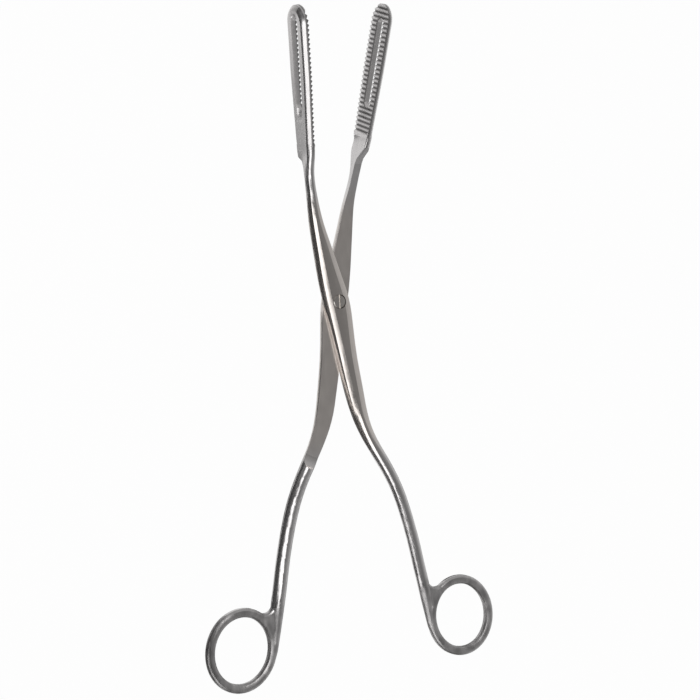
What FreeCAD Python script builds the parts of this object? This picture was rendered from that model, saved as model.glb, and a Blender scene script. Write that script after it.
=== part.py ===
import FreeCAD, Part
import math
import os

# Ovum forceps, shown half open: two crossed arms that turn on one slotted lock screw.
# Millimetres. X is to the right, Y runs up the instrument to the jaws, Z is up from the table.
# The origin is on the axis of the screw, on the underside of the rear arm.
# Every arm is drawn with its jaw at +X and its ring at -X, with z = 0 on the lapped faces.
# The rear arm keeps that side, and the front arm is its mirror image on the other lapped face.

# Lock
lock_half_thickness = 4.0
lock_width = 11.1
crown_flattening = 0.1
lock_bevel = 1.6
lap_play = 0.04
lock_ring_end = -60.6
lap_ring_end = lock_ring_end + 4.0
lock_flat_end = -44.0
shoulder_run = 4.2
shoulder_rise = 6.3
shoulder_toe = 0.7
scoop_radius = 9.0
scoop_side = -14.0
scoop_slope = 0.52
scoop_reach = 12.0

# Neck, from the lock to the jaw
neck_width = 3.3
neck_half_thickness = 3.4
neck_bevel = 0.6
bend_start = 29.5
bend_length = 14.5
bend_slope = 0.236
bend_steps = 8

# Jaw
jaw_base = 59.5
jaw_reach = 58.2
jaw_tip = jaw_base + jaw_reach
lock_jaw_end = jaw_base - 2.3
jaw_width = 14.2
jaw_root_width = 11.8
jaw_widest_share = 0.55
jaw_thickness = 2.95
jaw_lean = 0.128
jaw_offset_at_base = 12.5
jaw_bevel = 1.4
jaw_bevel_radius = 1.9
root_overlap = 0.4
slot_width = 5.2
slot_start = jaw_base + 17.7
slot_end = {"rear": jaw_tip - 5.4, "front": jaw_tip - 4.2}
slot_groove_depth = 1.1
slot_groove_overrun = 3.7
slot_groove_tip_overrun = 1.6
tooth_pitch = 1.84
tooth_depth = 0.8
teeth_start = {"rear": jaw_base + 7.8, "front": jaw_base + 5.1}
teeth_end = jaw_tip - 0.6
tooth_back_lean = 0.35

# Shank and finger ring
shank_diameter = {"rear": 5.7, "front": 5.0}
shank_end = -122.0
shank_foot = -146.0
shank_foot_size = 2.6
opening_centre = (-51.0, -136.15)
opening_half_width = 11.9
opening_half_length = 13.5
ring_tilt = 0.22
ring_section = 3.65
ring_inner_land = 1.3
ring_bevel_width = 0.53
ring_bevel_height = 0.9
ring_overlap = 0.15
web_half_thickness = 1.75
web_edge_radius = 1.2
notch_radius = 2.4
notch_shank_middle = -33.6

# Lock screw
head_radius = 2.8
head_thickness = 1.5
head_rise = 0.1
head_rim = 0.3
head_clearance = 0.12
journal_radius = 2.0
thread_radius = 1.75
running_clearance = 0.05
head_crown = 0.15
driver_slot_width = 0.55
driver_slot_depth = 0.75

# Reach of a cutter that passes right through the part, and the margin for finding edges
FAR = 200.0
NEAR = 0.05


def point(x, y, z=0.0):
    return FreeCAD.Vector(x, y, z)


def polygon_face(points):
    return Part.Face(Part.makePolygon(list(points) + [points[0]]))


def lap_level(y):
    """Height of the lapped face: flat over the lock, then bent up towards the jaw."""
    if y <= bend_start:
        return 0.0
    if y <= bend_start + bend_length:
        return 0.5 * bend_slope * (y - bend_start) ** 2 / bend_length
    return bend_slope * (y - bend_start - 0.5 * bend_length)


def jaw_centre(y):
    """Sideways place of the middle of the jaw's thickness."""
    return jaw_offset_at_base + jaw_lean * (y - jaw_base)


# Corners of a quarter of the arm's section, as shares of its half width and half height
PLATE_OUTSIDE = ((0.0, 1.0), (0.066, 0.998), (0.671, 0.870), (0.99, 0.689), (1.0, 0.0))
PLATE_GRIP = ((0.0, 1.0), (0.738, 0.999), (0.923, 0.978), (0.998, 0.925), (1.0, 0.0))
ROUND = tuple((math.sin(step * math.pi / 8), math.cos(step * math.pi / 8)) for step in range(5))

# The lock's and neck's section has a flattened crown, a steep bevel and a rounded side on the jaw's
# outer side, and a wide shallow bevel on its gripping side
crown_sag = 0.045
outer_side_crown = 0.55
outer_side_crown_share = 0.09
outer_bevel_slope = 0.83
grip_side_crown = 0.35
grip_bevel_slope = 0.4
grip_bevel_share = 1.75
# Where the bevel's middle lies, as shares of its width and of its drop: a little above the straight line
bevel_middle_across = 0.455
bevel_middle_drop = 0.435


def section_wire(y, x, z, half_width, half_height, bevel, form):
    """Section across the arm; form is -1 for a flat plate, 0 for the lock's facets and 1 for round."""
    share = abs(form)
    sides = (
        (outer_side_crown + outer_side_crown_share * half_width, bevel, outer_bevel_slope, PLATE_OUTSIDE),
        (grip_side_crown, grip_bevel_share * bevel, grip_bevel_slope, PLATE_GRIP),
    )
    quarters = []
    for side_crown, width, slope, plate in sides:
        edge = half_width - side_crown
        sag = crown_sag * (edge - width)
        middle = edge - bevel_middle_across * width
        faceted = (
            (0.0, half_height),
            (edge - width, half_height - sag),
            (middle, half_height - sag - bevel_middle_drop * slope * width),
            (edge, half_height - sag - slope * width),
            (half_width, 0.0),
        )
        quarter = []
        for start, end in zip(faceted, ROUND if form > 0 else plate):
            across = (1 - share) * start[0] + share * end[0] * half_width
            height = (1 - share) * start[1] + share * end[1] * half_height
            quarter.append((across, height))
        quarters.append(quarter)
    outside, grip = quarters
    ring = list(outside)
    ring += [(across, -height) for across, height in reversed(outside[:4])]
    ring += [(-across, -height) for across, height in grip[1:]]
    ring += [(-across, height) for across, height in reversed(grip[1:4])]
    places = [point(x + across, y, z + height) for across, height in ring]
    count = len(places)
    edges = []
    for first in range(1, count, 2):
        second = places[(first + 1) % count]
        third = places[(first + 2) % count]
        edges.append(Part.Arc(places[first], second, third).toShape())
    return Part.Wire(edges)


def arm_bar(name):
    """The bar from the jaw's root to the ring, before the lapped faces are cut."""
    diameter = shank_diameter[name]
    root_half = jaw_root_width / 2
    root_end = teeth_start[name] - root_overlap
    crown = lock_half_thickness + crown_flattening
    neck_top = jaw_base - 7.5
    neck_foot = bend_start + 10.5
    root_middle = jaw_base + 2.5
    root_bevel = neck_bevel - 0.1
    # Height up the arm, sideways place, full width, half thickness, bevel, form of the section
    stations = [
        (root_end, jaw_centre(root_end), jaw_thickness + 0.06, root_half + 0.04, root_bevel, -1.0),
        (root_middle, jaw_centre(root_middle), jaw_thickness + 0.1, root_half - 0.05, root_bevel, -0.95),
        (jaw_base - 1.0, 12.25, jaw_thickness + 0.25, root_half - 0.7, root_bevel, -0.85),
        (jaw_base - 4.5, 11.7, neck_width, neck_half_thickness + 0.7, neck_bevel, -0.6),
        (neck_top, 11.1, neck_width, neck_half_thickness, neck_bevel, -0.4),
        ((neck_top + neck_foot) / 2, 10.0, neck_width + 0.1, neck_half_thickness, neck_bevel, -0.25),
        (neck_foot, 8.7, neck_width + 0.9, neck_half_thickness, neck_bevel + 0.2, -0.1),
        (32.0, 7.3, neck_width + 2.2, lock_half_thickness - 0.2, neck_bevel + 0.4, 0.0),
        (22.0, 5.2, lock_width - 3.6, crown, lock_bevel - 0.4, 0.0),
        (12.0, 2.95, lock_width - 1.5, crown, lock_bevel - 0.1, 0.0),
        (0.0, 0.2, lock_width, crown, lock_bevel, 0.0),
        (-12.0, -1.6, lock_width - 1.3, crown, lock_bevel, 0.0),
        (-24.0, -3.3, lock_width - 2.6, crown, lock_bevel, 0.0),
        (-36.0, -5.45, lock_width - 3.3, lock_half_thickness, lock_bevel, 0.0),
        (-47.0, -7.9, diameter + 1.7, lock_half_thickness - 0.3, lock_bevel, 0.15),
        (-56.0, -11.5, diameter + 1.2, diameter / 2 + 0.4, lock_bevel, 0.5),
        (-64.0, -16.0, diameter + 1.1, diameter / 2 + 0.1, lock_bevel, 0.9),
        (-70.0, -19.45, diameter + 0.8, diameter / 2, lock_bevel, 1.0),
        (-80.0, -24.1, diameter + 0.4, diameter / 2, lock_bevel, 1.0),
        (-92.0, -27.85, diameter + 0.15, diameter / 2, lock_bevel, 1.0),
        (-104.0, -30.7, diameter + 0.1, diameter / 2, lock_bevel, 1.0),
        (-114.0, -32.6, diameter + 0.1, diameter / 2, lock_bevel, 1.0),
        (shank_end, -34.25, diameter, diameter / 2 - 0.1, lock_bevel, 1.0),
    ]
    # Below the shank the bar narrows and runs into the inner strand of the ring
    for y, x in ((-129.0, -35.3), (-135.0, -36.3), (-141.0, -37.65), (-143.5, -39.0), (shank_foot, -40.7)):
        share = (y - shank_end) / (shank_foot - shank_end)
        size = (1 - share) * diameter + share * shank_foot_size
        stations.append((y, x, size, size / 2, 0.0, 1.0))
    wires = []
    for y, x, width, half_height, bevel, form in stations:
        wires.append(section_wire(y, x, lap_level(y), width / 2, half_height, bevel, form))
    return Part.makeLoft(wires, True, False)


# Jaw, drawn flat in its own plane and then placed
def jaw_length_at(y):
    return (y - jaw_base) * math.sqrt(1 + jaw_lean ** 2 + bend_slope ** 2)


def jaw_placement():
    """Local x runs along the jaw, local y across its width, local z out of the toothed face."""
    along = point(jaw_lean, 1.0, bend_slope).normalize()
    grip = point(-1.0, jaw_lean, 0.0).normalize()
    across = grip.cross(along).normalize()
    centre = point(jaw_centre(jaw_base), jaw_base, lap_level(jaw_base))
    matrix = FreeCAD.Matrix(
        along.x, across.x, grip.x, centre.x,
        along.y, across.y, grip.y, centre.y,
        along.z, across.z, grip.z, centre.z,
        0, 0, 0, 1,
    )
    return FreeCAD.Placement(matrix)


def jaw_plate(name):
    length = jaw_length_at(jaw_tip)
    half = jaw_width / 2
    root = jaw_root_width / 2
    tip_start = length - half
    widest = length * jaw_widest_share
    outer_face = -jaw_thickness / 2 + NEAR
    shoulder = jaw_length_at(teeth_start[name]) - root_overlap
    start = shoulder - root_overlap * 3
    corners = [
        point(start, -root + root_overlap),
        point(shoulder, -root),
        point(widest, -half),
        point(tip_start, -half),
    ]
    mirrored = [point(corner.x, -corner.y) for corner in reversed(corners)]
    edges = [Part.LineSegment(a, b).toShape() for a, b in zip(corners, corners[1:])]
    edges.append(Part.Arc(corners[-1], point(length, 0), mirrored[0]).toShape())
    edges += [Part.LineSegment(a, b).toShape() for a, b in zip(mirrored, mirrored[1:])]
    edges.append(Part.LineSegment(mirrored[-1], corners[0]).toShape())
    face = Part.Face(Part.Wire(edges))
    plate = face.extrude(point(0, 0, jaw_thickness))
    plate.translate(point(0, 0, -jaw_thickness / 2))
    outer = [edge for edge in plate.Edges if edge.BoundBox.ZMax < outer_face]
    outer = [edge for edge in outer if edge.BoundBox.XMax > start + NEAR]
    plate = plate.makeChamfer(jaw_bevel, outer)
    rim = [edge for edge in plate.Edges if edge.BoundBox.ZMax < outer_face]
    rim = [edge for edge in rim if edge.BoundBox.XMax > start + NEAR]
    return plate.makeFillet(jaw_bevel_radius, rim)


def tooth_profile(lowest):
    """Side view of the plate: flat at the back, toothed on the gripping face."""
    top = jaw_thickness / 2
    valley = top - tooth_depth
    start = jaw_length_at(lowest)
    end = jaw_length_at(teeth_end)
    below = -2 * jaw_thickness
    beyond = jaw_length_at(jaw_tip) + 2 * jaw_thickness
    places = [point(below, 0, -jaw_thickness), point(below, 0, top), point(start, 0, top)]
    count = int((end - start) / tooth_pitch)
    for tooth in range(count):
        foot = start + tooth * tooth_pitch
        places.append(point(foot + tooth_back_lean * tooth_pitch, 0, valley))
        places.append(point(foot + tooth_pitch, 0, top))
    places += [point(beyond, 0, top), point(beyond, 0, -jaw_thickness)]
    body = polygon_face(places).extrude(point(0, 2 * jaw_width, 0))
    body.translate(point(0, -jaw_width, 0))
    return body


def slot_cutter(name):
    radius = slot_width / 2
    start = jaw_length_at(slot_start) + radius
    end = jaw_length_at(slot_end[name]) - radius
    tall = 3 * jaw_thickness
    low = -tall / 2
    cutter = Part.makeBox(end - start, slot_width, tall, point(start, -radius, low))
    for place in (start, end):
        cutter = cutter.fuse(Part.makeCylinder(radius, tall, point(place, 0, low)))
    # The groove that runs out past the lower end of the slot on the outer face
    level = -jaw_thickness / 2 - radius + slot_groove_depth
    groove_start = start - slot_groove_overrun
    groove_end = end + slot_groove_tip_overrun
    groove = Part.makeCylinder(radius, groove_end - groove_start, point(groove_start, 0, level), point(1, 0, 0))
    for place in (groove_start, groove_end):
        groove = groove.fuse(Part.makeSphere(radius, point(place, 0, level)))
    return cutter.fuse(groove)


def jaw(name):
    body = jaw_plate(name).common(tooth_profile(teeth_start[name])).cut(slot_cutter(name))
    body.Placement = jaw_placement()
    return body


def finger_ring():
    half_width = opening_half_width + ring_section / 2
    half_length = opening_half_length + ring_section / 2
    centre = point(opening_centre[0], opening_centre[1])
    major = point(math.sin(ring_tilt), math.cos(ring_tilt))
    minor = point(math.cos(ring_tilt), -math.sin(ring_tilt))
    start = centre + major * half_length
    side = centre + minor * half_width
    path = Part.Wire([Part.Ellipse(start, side, centre).toShape()])
    # Section across the ring at the start: outward is along the major axis
    reach = ring_section / 2
    land = ring_inner_land / 2
    half = [
        (-reach, land),
        (-reach + ring_bevel_width, land + ring_bevel_height),
        (-0.22 * reach, reach),
        (0.49 * reach, 0.93 * reach),
        (0.85 * reach, 0.68 * reach),
    ]
    upper = [start + major * outward + point(0, 0, height) for outward, height in half]
    lower = [start + major * outward - point(0, 0, height) for outward, height in half]
    outside = start + major * reach
    edges = [
        Part.LineSegment(lower[0], upper[0]).toShape(),
        Part.LineSegment(upper[0], upper[1]).toShape(),
        Part.Arc(upper[1], upper[2], upper[3]).toShape(),
        Part.Arc(upper[3], upper[4], outside).toShape(),
        Part.Arc(outside, lower[4], lower[3]).toShape(),
        Part.Arc(lower[3], lower[2], lower[1]).toShape(),
        Part.LineSegment(lower[1], lower[0]).toShape(),
    ]
    section = Part.Wire(edges)
    return path.makePipeShell([section], True, True)


def opening_outline(grow, level):
    centre = point(opening_centre[0], opening_centre[1], level)
    major = point(math.sin(ring_tilt), math.cos(ring_tilt)) * (opening_half_length + grow)
    minor = point(math.cos(ring_tilt), -math.sin(ring_tilt)) * (opening_half_width + grow)
    return Part.Wire([Part.Ellipse(centre + major, centre + minor, centre).toShape()])


def opening_cutters():
    """The finger opening and its bevels above and below, just inside the ring's own section."""
    land = ring_inner_land / 2
    top = max(shank_diameter.values()) / 2 + ring_overlap
    flare = ring_overlap + (top - land) * ring_bevel_width / ring_bevel_height
    straight = Part.Face(opening_outline(ring_overlap, -top)).extrude(point(0, 0, 2 * top))
    above = [opening_outline(ring_overlap, land), opening_outline(flare, top)]
    below = [opening_outline(flare, -top), opening_outline(ring_overlap, -land)]
    return [straight, Part.makeLoft(above, True, False), Part.makeLoft(below, True, False)]


def web(name):
    """Flat web between the shank and the top of the ring, with the notch outside it."""
    shank_side = notch_shank_middle - shank_diameter[name] / 2
    outline = [
        point(-52.0, opening_centre[1] + opening_half_length + ring_section - 0.5),
        point(-47.0, -120.7),
        point(-42.5, -122.0),
        point(shank_side - notch_radius, -122.4),
        point(shank_side - 0.3, -120.7),
        point(shank_side + 0.9, -117.0),
    ]
    curve = Part.BSplineCurve()
    curve.interpolate(outline)
    inside = [point(-32.9, -116.5), point(-35.2, -127.0), point(-38.6, -133.5), point(-44.0, -133.5)]
    inner = [outline[-1]] + inside + [outline[0]]
    edges = [curve.toShape()]
    edges += [Part.LineSegment(a, b).toShape() for a, b in zip(inner, inner[1:])]
    body = Part.Face(Part.Wire(edges)).extrude(point(0, 0, 2 * web_half_thickness))
    body.translate(point(0, 0, -web_half_thickness))
    notch_edges = [edge for edge in body.Edges if edge.Curve.TypeId == "Part::GeomBSplineCurve"]
    return body.makeFillet(web_edge_radius, notch_edges)


def lap_cutter(side):
    """Everything on one side of the lapped face, from the scoop to the shoulder."""
    level = -lap_play / 2
    crown = 3 * lock_half_thickness
    places = [point(0, lap_ring_end, level), point(0, bend_start, level)]
    for step in range(1, bend_steps + 1):
        y = bend_start + step * bend_length / bend_steps
        places.append(point(0, y, lap_level(y) * side + level))
    toe = lock_jaw_end - 3 * shoulder_toe
    places.append(point(0, toe, lap_level(toe) * side + level))
    foot = lap_level(lock_jaw_end) * side + level + shoulder_toe
    places.append(point(0, lock_jaw_end, foot))
    places.append(point(0, lock_jaw_end + 2 * shoulder_run, foot + 2 * shoulder_rise))
    places.append(point(0, lap_ring_end, foot + 2 * shoulder_rise))
    body = polygon_face(places).extrude(point(2 * FAR, 0, 0))
    body.translate(point(-FAR, 0, 0))
    # Round-nosed scoop across the shank where the lapped face ends
    block = Part.makeBox(2 * lock_width, scoop_reach, crown, point(-lock_width, 0.0, level))
    axis_end = point(-lock_width, 0.0, level + scoop_radius)
    nose = Part.makeCylinder(scoop_radius, 2 * lock_width, axis_end, point(1, 0, 0))
    scoop = block.fuse(nose)
    scoop.rotate(point(0, 0), point(0, 0, 1), -math.degrees(math.atan(scoop_slope)))
    scoop.translate(point(scoop_side, lock_ring_end))
    body = body.fuse(scoop)
    if side < 0:
        body = body.mirror(point(0, 0), point(0, 0, 1))
    return body


def crown_cutter(side):
    """What stands above the flat outer face of the lock, between the shank and the neck."""
    length = bend_start - lock_flat_end
    body = Part.makeBox(2 * lock_width, length, lock_half_thickness)
    body.translate(point(-lock_width, lock_flat_end, lock_half_thickness))
    if side < 0:
        body = body.mirror(point(0, 0), point(0, 0, 1))
    return body


def lock_bore(name):
    """Bore for the screw: plain with a seat in the front arm, threaded size in the rear arm."""
    deep = 3 * lock_half_thickness
    if name == "rear":
        return Part.makeCylinder(thread_radius, deep, point(0, 0, -deep / 2))
    seat = lock_half_thickness + head_rise - head_thickness - running_clearance / 2
    bore = Part.makeCylinder(journal_radius + running_clearance, deep, point(0, 0, -deep / 2))
    return bore.fuse(Part.makeCylinder(head_radius + head_clearance, deep, point(0, 0, seat)))


def arm(name):
    side = 1 if name == "rear" else -1
    body = arm_bar(name).fuse(web(name))
    for cutter in opening_cutters():
        body = body.cut(cutter)
    body = body.fuse(finger_ring())
    body = body.fuse(jaw(name))
    body = body.cut(lap_cutter(side))
    if name == "rear":
        body = body.cut(crown_cutter(-side))
    body = body.cut(lock_bore(name))
    if name == "front":
        body = body.mirror(point(0, 0), point(1, 0, 0))
    body.translate(point(0, 0, lock_half_thickness))
    return body.removeSplitter()


def screw():
    head_top = lock_half_thickness + head_rise
    head_bottom = head_top - head_thickness
    thread_bottom = -lock_half_thickness
    head = Part.makeCylinder(head_radius, head_thickness, point(0, 0, head_bottom))
    dome_radius = (head_radius ** 2 + head_crown ** 2) / (2 * head_crown)
    head = head.common(Part.makeSphere(dome_radius, point(0, 0, head_top - dome_radius)))
    cone_height = head_radius + head_top - head_crown - head_rim - head_bottom
    cone = Part.makeCone(cone_height, 0, cone_height, point(0, 0, head_bottom))
    head = head.common(cone)
    journal = Part.makeCylinder(journal_radius, head_bottom - lap_play / 2, point(0, 0, lap_play / 2))
    journal_low = Part.makeCylinder(thread_radius, lap_play / 2 - thread_bottom, point(0, 0, thread_bottom))
    slot = Part.makeBox(driver_slot_width, 4 * head_radius, driver_slot_depth * 2)
    slot.translate(point(-driver_slot_width / 2, -2 * head_radius, head_top - driver_slot_depth))
    body = head.fuse([journal, journal_low]).cut(slot)
    body.translate(point(0, 0, lock_half_thickness))
    return body.removeSplitter()


os.makedirs("parts", exist_ok=True)
nodes = {"rear_arm": arm("rear"), "front_arm": arm("front"), "pivot_screw": screw()}
for node, shape in nodes.items():
    solids = shape.Solids
    box = shape.BoundBox
    print(node, "valid", shape.isValid(), "solids", len(solids), "volume", round(shape.Volume, 1),
          "box", [round(value, 2) for value in (box.XMin, box.YMin, box.ZMin, box.XMax, box.YMax, box.ZMax)])
    shape.exportStep("parts/" + node + ".step")
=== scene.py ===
import math
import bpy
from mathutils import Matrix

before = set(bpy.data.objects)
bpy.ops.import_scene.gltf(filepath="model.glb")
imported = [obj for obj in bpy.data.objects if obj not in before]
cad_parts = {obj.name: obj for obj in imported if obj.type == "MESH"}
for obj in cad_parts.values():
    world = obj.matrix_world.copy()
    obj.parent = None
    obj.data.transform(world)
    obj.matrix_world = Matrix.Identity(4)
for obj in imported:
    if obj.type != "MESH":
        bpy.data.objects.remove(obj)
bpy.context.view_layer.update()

from types import SimpleNamespace

import bpy
from mathutils import Matrix, Vector

MM = 0.001
WHITE = (1.0, 1.0, 1.0, 1.0)

# Camera, fitted to the photograph: it looks down on the lock and stands to the left of it
CAMERA_YAW = math.radians(28.0)
CAMERA_PITCH = math.radians(4.255)
CAMERA_ROLL = math.radians(-3.179)
CAMERA_DISTANCE = 874.5 * MM
CAMERA_SIDE_SHIFT = -6.0 * MM
CAMERA_RISE = 19.7 * MM
CAMERA_TARGET = Vector((0.0, 0.0, 4.0 * MM))
CAMERA_CLIP = (0.01, 20.0)
PHOTO_WIDTH = 700.0
FOCAL_PIXELS = 2155.0
SENSOR_WIDTH = 36.0
FOCAL_LENGTH = SENSOR_WIDTH * FOCAL_PIXELS / PHOTO_WIDTH

# Floor under the instrument; rays that show it directly see mostly its own plain white
FLOOR_LEVEL = -220.0 * MM
FLOOR_RADIUS = 430.0 * MM
FLOOR_CORNERS = 96
FLOOR_GREY = 0.95
FLOOR_GLOW_SHARE = 0.96

# Light all round the instrument: a level for each angle from straight above towards the left
TENT_STRENGTH = 2.3
TENT = [
    (-180.0, 0.75), (-100.0, 0.72), (-70.0, 0.58), (-42.0, 0.35), (-28.0, 0.24),
    (-10.0, 0.19), (4.0, 0.14), (18.0, 0.20), (29.0, 2.30), (54.0, 2.30),
    (62.0, 0.40), (68.0, 0.12), (130.0, 0.12), (180.0, 0.60),
]

# The tent's bands run aslant, the more so the further left they are, and straight at the ring end
TENT_TILT = math.radians(92.0)
TENT_TILT_FROM = math.radians(-28.0)
TENT_TILT_TO = math.radians(12.0)
TENT_STRAIGHT_UP_TO = -0.62
TENT_ASLANT_FROM = -0.42

# Even light at the tent's two ends: the direction's y where it starts and where it is full, its level
TENT_JAW_END = (0.35, 0.80, 0.50)
TENT_RING_END = (-0.80, -0.95, 0.14)

# Soft box over the left shank
BOX_ANGLE = math.radians(13.0)
BOX_DISTANCE = 300.0 * MM
BOX_WIDTH = 124.0 * MM
BOX_RING_END = -170.0 * MM
BOX_JAW_END = 60.0 * MM
BOX_RADIANCE = 2.3

# Dark cards that give the steel its dark edges, in millimetres:
# the side and height of the near edge and of the far edge, then the reach along the instrument
LEFT_CARD = ((-190.0, 45.0), (-190.0, -205.0), (-400.0, 45.0))
JAW_CARD = ((-190.0, 45.0), (-190.0, -214.0), (45.0, 400.0))
LOCK_FLOOR_CARD = ((-150.0, -218.0), (-60.0, -218.0), (-90.0, 0.0))
NECK_FLOOR_CARD = ((-128.0, -218.0), (-60.0, -218.0), (20.0, 84.0))
LEFT_FLOOR_CARD = ((-190.0, -218.0), (-95.0, -218.0), (-400.0, -115.0))
RIGHT_FLOOR_CARD = ((70.0, -218.0), (350.0, -218.0), (-620.0, 60.0))
RING_FLAG = ((-120.0, 40.0), (-60.0, 40.0), (-180.0, -112.0))
CARD_GREY = 0.14

# Sizes of the arms that the finish follows
LAP_LEVEL = 4.0 * MM
BEND_START = 29.5 * MM
BEND_LENGTH = 14.5 * MM
BEND_SLOPE = 0.236
JAW_BASE = 59.5 * MM
JAW_OFFSET = 12.5 * MM
JAW_LEAN = 0.128
JAW_HALF_THICKNESS = 1.475 * MM
LOCK_MIDDLE = -10.0 * MM

# Where one finish, painted shade or painted light passes into the next, from and to
LAP_FACE_FADE = (0.05 * MM, 0.12 * MM)
LAP_END_FADE = (55.0 * MM, 58.0 * MM)
JAW_FADE = (57.0 * MM, 63.0 * MM)
RING_FADE = (-124.0 * MM, -117.0 * MM)
TOOTH_FADE = (0.80 * MM, 0.92 * MM)
VALLEY_FADE = (0.10 * MM, 0.72 * MM)
SLOT_WALL_FADE = (2.55 * MM, 2.8 * MM)
SLOT_START_FADE = (72.0 * MM, 74.0 * MM)
COOL_FADE = (42.0 * MM, 58.0 * MM)

# Noise in the steel: stretch along the three axes, scale and detail
GRAIN = ((1.0, 0.05, 1.0), 5200.0, 2.0)
CLOUD = ((1.0, 0.5, 1.0), 380.0, 4.0)
SPECKLE = ((1.0, 1.0, 1.0), 1500.0, 4.0)
WIDE_RANGE = (0.3, 0.7)
NARROW_RANGE = (0.35, 0.65)

# Roughness: what the duller places have above the satin finish, and how far the noise moves it
RING_DULLNESS = 0.12
LAP_DULLNESS = 0.06
SLOT_DULLNESS = 0.26
CLOUD_ROUGHNESS = 0.03
GRAIN_ROUGHNESS = 0.015

# Tones, as multiples of the steel's own colour; the ring and valley tones are painted shade, the slot
# and jaw tones painted light
SPECKLE_TONES = (0.78, 1.12)
RING_SHADE_TONES = (0.60, 0.92)
SLOT_LIGHT_TONES = (1.0, 1.75)
JAW_LIGHT_TONE = 1.06
VALLEY_PAINTED_SHADE = 0.36

# How much of the painted light and of the speckle shows on the jaw
JAW_PAINTED_LIGHT_SHARE = 0.8
JAW_SPECKLE_SHARE = 0.35

# Polished steel away from the lock is a little cooler than its ground faces
COOL_TINT = (0.963, 1.005, 1.058, 1.0)

# Fine relief: how much of it shows on polished steel, on the jaw and on the ring,
# what the speckle adds to the grain everywhere and in the slot, then its strength and depth
RELIEF_POLISHED = 0.15
RELIEF_JAW = 0.6
RELIEF_RING = 0.1
RELIEF_SPECKLE = 0.4
RELIEF_SLOT_SPECKLE = 2.0
RELIEF_STRENGTH = 0.12
RELIEF_DEPTH = 0.03 * MM

# Each steel: its colour and the roughness of its polished and its satin places
ARM_STEEL = ((0.60, 0.56, 0.53), 0.20, 0.28)
SCREW_STEEL = ((0.58, 0.55, 0.52), 0.22, 0.28)
SHARP_ANGLE = math.radians(30.0)


class Nodes:
    """Shorthand for building a node tree."""

    def __init__(self, tree):
        self.tree = tree
        tree.nodes.clear()

    def add(self, kind, **inputs):
        node = self.tree.nodes.new(kind)
        for name, value in inputs.items():
            self.feed(node.inputs[name.replace("_", " ")], value)
        return node

    def feed(self, socket, value):
        if isinstance(value, bpy.types.NodeSocket):
            self.tree.links.new(value, socket)
        else:
            socket.default_value = value

    def math(self, operation, *values):
        node = self.tree.nodes.new("ShaderNodeMath")
        node.operation = operation
        for socket, value in zip(node.inputs, values):
            self.feed(socket, value)
        return node.outputs[0]

    def remap(self, value, old_range, new_range, smooth=False):
        node = self.tree.nodes.new("ShaderNodeMapRange")
        node.interpolation_type = "SMOOTHSTEP" if smooth else "LINEAR"
        for number, each in enumerate((value, *old_range, *new_range)):
            self.feed(node.inputs[number], each)
        return node.outputs[0]

    def rise(self, value, old_range, smooth=False):
        return self.remap(value, old_range, (0.0, 1.0), smooth)

    def fall(self, value, old_range, smooth=False):
        return self.remap(value, old_range, (1.0, 0.0), smooth)

    def noise(self, coordinates, stretch, scale, detail):
        mapping = self.add("ShaderNodeMapping", Vector=coordinates, Scale=stretch)
        node = self.add("ShaderNodeTexNoise", Vector=mapping.outputs[0], Scale=scale, Detail=detail)
        return node.outputs["Fac"]

    def mix_colour(self, share, first, second, blend="MIX"):
        node = self.tree.nodes.new("ShaderNodeMix")
        node.data_type = "RGBA"
        node.blend_type = blend
        self.feed(node.inputs[0], share)
        self.feed(node.inputs[6], first)
        self.feed(node.inputs[7], second)
        return node.outputs[2]

    def mix_shader(self, share, first, second):
        node = self.add("ShaderNodeMixShader", Fac=share)
        self.feed(node.inputs[1], first.outputs[0])
        self.feed(node.inputs[2], second.outputs[0])
        return node


def grey(level):
    return (level, level, level, 1.0)


def new_material(name):
    material = bpy.data.materials.new(name)
    material.use_nodes = True
    return material, Nodes(material.node_tree)


def add_object(name, data):
    thing = bpy.data.objects.new(name, data)
    bpy.context.scene.collection.objects.link(thing)
    return thing


def camera_axes():
    back = Vector((
        -math.sin(CAMERA_YAW) * math.cos(CAMERA_PITCH),
        math.sin(CAMERA_PITCH),
        math.cos(CAMERA_YAW) * math.cos(CAMERA_PITCH),
    ))
    right = Vector((math.cos(CAMERA_YAW), 0.0, math.sin(CAMERA_YAW)))
    up = back.cross(right)
    right_rolled = math.cos(CAMERA_ROLL) * right + math.sin(CAMERA_ROLL) * up
    up_rolled = math.cos(CAMERA_ROLL) * up - math.sin(CAMERA_ROLL) * right
    return right_rolled, up_rolled, back


def place_camera():
    right, up, back = camera_axes()
    data = bpy.data.cameras.new("photo_camera")
    data.sensor_width = SENSOR_WIDTH
    data.lens = FOCAL_LENGTH
    data.clip_start, data.clip_end = CAMERA_CLIP
    camera = add_object("photo_camera", data)
    turn = Matrix((right, up, back)).transposed().to_4x4()
    place = CAMERA_TARGET + back * CAMERA_DISTANCE
    place = place - right * CAMERA_SIDE_SHIFT - up * CAMERA_RISE
    camera.matrix_world = Matrix.Translation(place) @ turn
    bpy.context.scene.camera = camera


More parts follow.
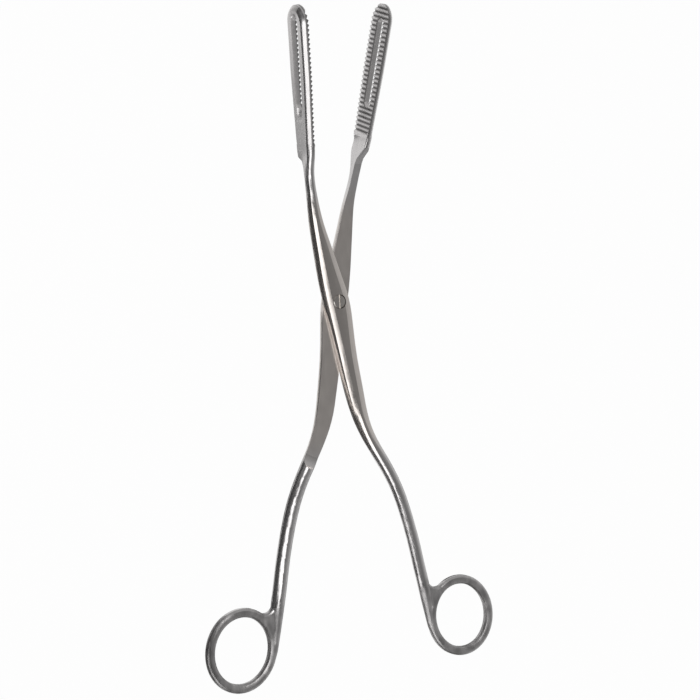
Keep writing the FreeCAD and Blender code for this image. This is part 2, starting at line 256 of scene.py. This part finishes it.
def tent_colour(nodes):
    """Grey of the surround by direction, as a share of the tent's strength."""
    direction = nodes.add("ShaderNodeTexCoord").outputs["Generated"]
    x, y, z = nodes.add("ShaderNodeSeparateXYZ", Vector=direction).outputs
    angle = nodes.math("ARCTAN2", nodes.math("MULTIPLY", x, -1.0), z)
    tilt = nodes.remap(angle, (TENT_TILT_FROM, TENT_TILT_TO), (0.0, TENT_TILT), smooth=True)
    aslant = nodes.rise(y, (TENT_STRAIGHT_UP_TO, TENT_ASLANT_FROM), smooth=True)
    angle = nodes.math("MULTIPLY_ADD", nodes.math("MULTIPLY", y, aslant), tilt, angle)
    ramp = nodes.add("ShaderNodeValToRGB", Fac=nodes.rise(angle, (-math.pi, math.pi)))
    stops = ramp.color_ramp.elements
    while len(stops) < len(TENT):
        stops.new(1.0)
    for stop, (degrees, level) in zip(stops, TENT):
        stop.position = (degrees + 180.0) / 360.0
        stop.color = grey(level / TENT_STRENGTH)
    colour = ramp.outputs[0]
    for start, full, level in (TENT_JAW_END, TENT_RING_END):
        share = nodes.rise(y, (start, full), smooth=True)
        colour = nodes.mix_colour(share, colour, grey(level / TENT_STRENGTH))
    return colour


def build_world():
    world = bpy.data.worlds.new("studio")
    world.use_nodes = True
    bpy.context.scene.world = world
    nodes = Nodes(world.node_tree)
    tent = nodes.add("ShaderNodeBackground", Color=tent_colour(nodes), Strength=TENT_STRENGTH)
    white = nodes.add("ShaderNodeBackground", Color=WHITE, Strength=1.0)
    camera_ray = nodes.add("ShaderNodeLightPath").outputs["Is Camera Ray"]
    mix = nodes.mix_shader(camera_ray, tent, white)
    nodes.add("ShaderNodeOutputWorld", Surface=mix.outputs[0])


def seen_directly(nodes):
    """1 for rays that show the background itself or its mirror image, otherwise 0."""
    path = nodes.add("ShaderNodeLightPath").outputs
    mirrored = nodes.math("MAXIMUM", path["Is Glossy Ray"], path["Is Transmission Ray"])
    return nodes.math("MAXIMUM", path["Is Camera Ray"], mirrored)


def build_floor():
    corners = []
    for number in range(FLOOR_CORNERS):
        angle = 2 * math.pi * number / FLOOR_CORNERS
        x = math.cos(angle) * FLOOR_RADIUS
        y = math.sin(angle) * FLOOR_RADIUS
        corners.append((x, y, FLOOR_LEVEL))
    mesh = bpy.data.meshes.new("floor")
    mesh.from_pydata(corners, [], [tuple(range(FLOOR_CORNERS))])
    floor = add_object("floor", mesh)
    material, nodes = new_material("floor_white")
    matt = nodes.add("ShaderNodeBsdfDiffuse", Color=grey(FLOOR_GREY))
    glow = nodes.add("ShaderNodeEmission", Color=WHITE, Strength=1.0)
    share = nodes.math("MULTIPLY", seen_directly(nodes), FLOOR_GLOW_SHARE)
    mix = nodes.mix_shader(share, matt, glow)
    nodes.add("ShaderNodeOutputMaterial", Surface=mix.outputs[0])
    mesh.materials.append(material)


def build_soft_box():
    data = bpy.data.lights.new("soft_box", "AREA")
    data.shape = "RECTANGLE"
    data.size = BOX_WIDTH
    data.size_y = BOX_JAW_END - BOX_RING_END
    data.energy = BOX_RADIANCE * math.pi * data.size * data.size_y
    lamp = add_object("soft_box", data)
    towards = Vector((-math.sin(BOX_ANGLE), 0.0, math.cos(BOX_ANGLE)))
    along = Vector((0.0, 1.0, 0.0))
    turn = Matrix((along.cross(towards), along, towards)).transposed().to_4x4()
    place = towards * BOX_DISTANCE + along * (BOX_JAW_END + BOX_RING_END) / 2
    lamp.matrix_world = Matrix.Translation(place) @ turn


def build_cards():
    """Cards that show dark in the steel's mirror image and not to the camera."""
    material, nodes = new_material("dark_card")
    matt = nodes.add("ShaderNodeBsdfDiffuse", Color=grey(CARD_GREY))
    nodes.add("ShaderNodeOutputMaterial", Surface=matt.outputs[0])
    cards = {
        "left_card": LEFT_CARD,
        "jaw_card": JAW_CARD,
        "lock_floor_card": LOCK_FLOOR_CARD,
        "neck_floor_card": NECK_FLOOR_CARD,
        "left_floor_card": LEFT_FLOOR_CARD,
        "right_floor_card": RIGHT_FLOOR_CARD,
        "ring_flag": RING_FLAG,
    }
    for name, (near, far, (low, high)) in cards.items():
        corners = []
        for (x, z), y in ((near, low), (near, high), (far, high), (far, low)):
            corners.append((x * MM, y * MM, z * MM))
        mesh = bpy.data.meshes.new(name)
        mesh.from_pydata(corners, [], [(0, 1, 2, 3)])
        mesh.materials.append(material)
        card = add_object(name, mesh)
        card.visible_camera = False
        card.visible_diffuse = False
        card.visible_shadow = name == "ring_flag"


def arm_zones(nodes, x, y, z):
    """Share from 0 to 1 of each zone: lap face, jaw, ring, the jaw's slot, and the tooth valleys that
    take painted shade.
    """
    past_start = nodes.math("MAXIMUM", nodes.math("SUBTRACT", y, BEND_START), 0.0)
    bend = nodes.math("MINIMUM", past_start, BEND_LENGTH)
    curve = nodes.math("MULTIPLY", nodes.math("POWER", bend, 2.0), 0.5 * BEND_SLOPE / BEND_LENGTH)
    past_bend = nodes.math("MAXIMUM", nodes.math("SUBTRACT", y, BEND_START + BEND_LENGTH), 0.0)
    lap_level = nodes.math("ADD", nodes.math("MULTIPLY_ADD", past_bend, BEND_SLOPE, curve), LAP_LEVEL)
    off_lap = nodes.math("ABSOLUTE", nodes.math("SUBTRACT", z, lap_level))
    lap = nodes.math("MULTIPLY", nodes.fall(off_lap, LAP_FACE_FADE), nodes.fall(y, LAP_END_FADE))

    jaw = nodes.rise(y, JAW_FADE, smooth=True)
    ring = nodes.fall(y, RING_FADE, smooth=True)
    slot = nodes.math("MULTIPLY", nodes.fall(off_lap, SLOT_WALL_FADE), nodes.rise(y, SLOT_START_FADE))

    side = nodes.math("SUBTRACT", nodes.math("ABSOLUTE", x), JAW_OFFSET)
    lean = nodes.math("MULTIPLY", nodes.math("SUBTRACT", y, JAW_BASE), JAW_LEAN)
    depth = nodes.math("ADD", nodes.math("SUBTRACT", side, lean), JAW_HALF_THICKNESS)
    toothed = nodes.math("MULTIPLY", nodes.fall(depth, TOOTH_FADE), jaw)
    valley_shade = nodes.math("MULTIPLY", toothed, nodes.rise(depth, VALLEY_FADE))
    return SimpleNamespace(lap=lap, jaw=jaw, ring=ring, slot=slot, valley_shade=valley_shade)


def steel_roughness(nodes, zone, grain, cloud, polish, satin):
    level = nodes.remap(zone.jaw, (0.0, 1.0), (polish, satin))
    duller = ((zone.ring, RING_DULLNESS), (zone.lap, LAP_DULLNESS), (zone.slot, SLOT_DULLNESS))
    for share, dullness in duller:
        level = nodes.math("MAXIMUM", level, nodes.math("MULTIPLY", share, satin + dullness))
    wander = nodes.remap(cloud, WIDE_RANGE, (-CLOUD_ROUGHNESS, CLOUD_ROUGHNESS))
    streak = nodes.remap(grain, WIDE_RANGE, (-GRAIN_ROUGHNESS, GRAIN_ROUGHNESS))
    return nodes.math("ADD", nodes.math("ADD", level, wander), streak)


def steel_colour(nodes, zone, y, speckle, cloud, colour):
    def shade(factor):
        return tuple(channel * factor for channel in colour) + (1.0,)

    def shades(share, tones):
        return nodes.mix_colour(share, shade(tones[0]), shade(tones[1]))

    speckled = shades(nodes.rise(speckle, NARROW_RANGE), SPECKLE_TONES)
    # The rings are darker, with random mottle: painted shade that dims their reflection
    ring_shade_mottle = shades(nodes.rise(cloud, NARROW_RANGE), RING_SHADE_TONES)
    # The slot walls are lighter, with random mottle: painted light inside the slot
    slot_light_mottle = shades(speckle, SLOT_LIGHT_TONES)
    speckled_jaw = nodes.math("MULTIPLY", zone.jaw, JAW_SPECKLE_SHARE)
    speckle_share = nodes.math("MAXIMUM", zone.slot, speckled_jaw)
    # The jaws are slightly lighter: painted light on their satin faces
    jaw_light_share = nodes.math("MULTIPLY", zone.jaw, JAW_PAINTED_LIGHT_SHARE)
    tone = nodes.mix_colour(speckle_share, shade(1.0), speckled)
    tone = nodes.mix_colour(jaw_light_share, tone, shade(JAW_LIGHT_TONE))
    tone = nodes.mix_colour(zone.ring, tone, ring_shade_mottle)
    tone = nodes.mix_colour(zone.slot, tone, slot_light_mottle)
    # The tooth valleys are darkened: painted shade in the recesses between the teeth
    tone = nodes.mix_colour(zone.valley_shade, tone, shade(VALLEY_PAINTED_SHADE))
    from_lock = nodes.math("ABSOLUTE", nodes.math("SUBTRACT", y, LOCK_MIDDLE))
    tint = nodes.mix_colour(nodes.rise(from_lock, COOL_FADE, smooth=True), WHITE, COOL_TINT)
    return nodes.mix_colour(1.0, tone, tint, blend="MULTIPLY")


def steel_relief(nodes, zone, grain, speckle):
    jaw = nodes.math("MULTIPLY", zone.jaw, RELIEF_JAW)
    ring = nodes.math("MULTIPLY", zone.ring, RELIEF_RING)
    coarse = nodes.math("MAXIMUM", nodes.math("MAXIMUM", jaw, ring), zone.lap)
    speckle_share = nodes.math("MULTIPLY_ADD", zone.slot, RELIEF_SLOT_SPECKLE, RELIEF_SPECKLE)
    height = nodes.math("MULTIPLY_ADD", speckle, speckle_share, grain)
    share = nodes.math("MULTIPLY_ADD", coarse, 1.0 - RELIEF_POLISHED, RELIEF_POLISHED)
    height = nodes.math("MULTIPLY", height, share)
    bump = nodes.add("ShaderNodeBump", Height=height, Strength=RELIEF_STRENGTH, Distance=RELIEF_DEPTH)
    return bump.outputs[0]


def steel(name, colour, polish, satin):
    """Stainless steel: polished bevels, ground lap faces, satin rings and jaws; painted shade on the
    rings and in the tooth valleys, painted light on the jaws and in the slot.
    """
    material, nodes = new_material(name)
    place = nodes.add("ShaderNodeTexCoord").outputs["Object"]
    x, y, z = nodes.add("ShaderNodeSeparateXYZ", Vector=place).outputs
    zone = arm_zones(nodes, x, y, z)
    grain = nodes.noise(place, *GRAIN)
    cloud = nodes.noise(place, *CLOUD)
    speckle = nodes.noise(place, *SPECKLE)
    surface = nodes.add(
        "ShaderNodeBsdfPrincipled",
        Base_Color=steel_colour(nodes, zone, y, speckle, cloud, colour),
        Roughness=steel_roughness(nodes, zone, grain, cloud, polish, satin),
        Metallic=1.0,
        Normal=steel_relief(nodes, zone, grain, speckle),
    )
    nodes.add("ShaderNodeOutputMaterial", Surface=surface.outputs[0])
    return material


def dress(node, material):
    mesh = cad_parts[node].data
    mesh.materials.clear()
    mesh.materials.append(material)
    mesh.shade_smooth()
    mesh.set_sharp_from_angle(angle=SHARP_ANGLE)


bpy.context.scene.view_settings.view_transform = "Standard"
place_camera()
build_world()
build_floor()
build_cards()
build_soft_box()
arm_steel = steel("arm_steel", *ARM_STEEL)
screw_steel = steel("screw_steel", *SCREW_STEEL)
dress("front_arm", arm_steel)
dress("rear_arm", arm_steel)
dress("pivot_screw", screw_steel)
